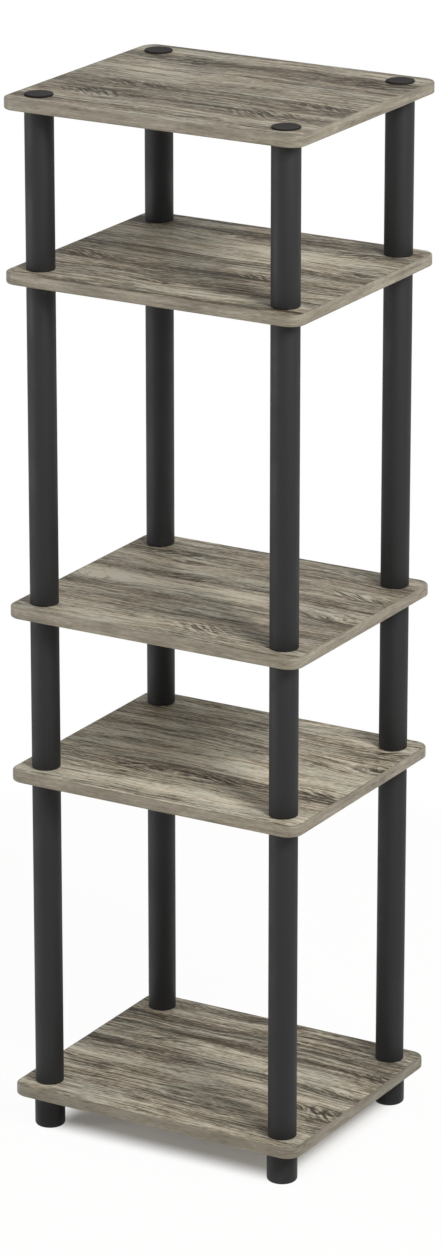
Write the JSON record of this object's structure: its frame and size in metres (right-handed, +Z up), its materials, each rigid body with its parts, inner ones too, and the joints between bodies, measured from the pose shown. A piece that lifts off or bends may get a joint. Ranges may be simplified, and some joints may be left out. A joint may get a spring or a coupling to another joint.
{
  "type": "shelving unit",
  "caption": "Narrow open shelving tower for a corner: rectangular wood-grain boards with rounded corners on columns of black screwed tubes, with short feet and flat caps.",
  "frame": {"origin": "on the floor, under the middle of the unit", "axes": "+Z up, X along the long side of the boards, front towards -Y"},
  "size_m": [0.34, 0.29, 1.1085],
  "materials": {
    "oak_laminate": "weathered grey-brown oak print, matte, grain along the long side",
    "oak_edge_band": "plainer and lighter oak print, matte, grain along the edge",
    "black_tube_plastic": "charcoal black, satin",
    "black_plug_plastic": "black, moulded",
    "black_cap_plastic": "black, moulded, satin",
    "black_foot_plastic": "black, moulded, satin"
  },
  "bodies": {
    "root": {"bottom_board": "oak_laminate", "bottom_board_edge_band": "oak_edge_band", "lower_board": "oak_laminate", "lower_board_edge_band": "oak_edge_band", "middle_board": "oak_laminate", "middle_board_edge_band": "oak_edge_band", "upper_board": "oak_laminate", "upper_board_edge_band": "oak_edge_band", "top_board": "oak_laminate", "top_board_edge_band": "oak_edge_band", "tube_front_left_1": "black_tube_plastic", "stud_plug_front_left_1": "black_plug_plastic", "tube_front_left_2": "black_tube_plastic", "stud_plug_front_left_2": "black_plug_plastic", "tube_front_left_3": "black_tube_plastic", "stud_plug_front_left_3": "black_plug_plastic", "tube_front_left_4": "black_tube_plastic", "stud_plug_front_left_4": "black_plug_plastic", "cap_front_left": "black_cap_plastic", "foot_front_left": "black_foot_plastic", "tube_front_right_1": "black_tube_plastic", "stud_plug_front_right_1": "black_plug_plastic", "tube_front_right_2": "black_tube_plastic", "stud_plug_front_right_2": "black_plug_plastic", "tube_front_right_3": "black_tube_plastic", "stud_plug_front_right_3": "black_plug_plastic", "tube_front_right_4": "black_tube_plastic", "stud_plug_front_right_4": "black_plug_plastic", "cap_front_right": "black_cap_plastic", "foot_front_right": "black_foot_plastic", "tube_back_right_1": "black_tube_plastic", "stud_plug_back_right_1": "black_plug_plastic", "tube_back_right_2": "black_tube_plastic", "stud_plug_back_right_2": "black_plug_plastic", "tube_back_right_3": "black_tube_plastic", "stud_plug_back_right_3": "black_plug_plastic", "tube_back_right_4": "black_tube_plastic", "stud_plug_back_right_4": "black_plug_plastic", "cap_back_right": "black_cap_plastic", "foot_back_right": "black_foot_plastic", "tube_back_left_1": "black_tube_plastic", "stud_plug_back_left_1": "black_plug_plastic", "tube_back_left_2": "black_tube_plastic", "stud_plug_back_left_2": "black_plug_plastic", "tube_back_left_3": "black_tube_plastic", "stud_plug_back_left_3": "black_plug_plastic", "tube_back_left_4": "black_tube_plastic", "stud_plug_back_left_4": "black_plug_plastic", "cap_back_left": "black_cap_plastic", "foot_back_left": "black_foot_plastic"}
  },
  "joints": []
}
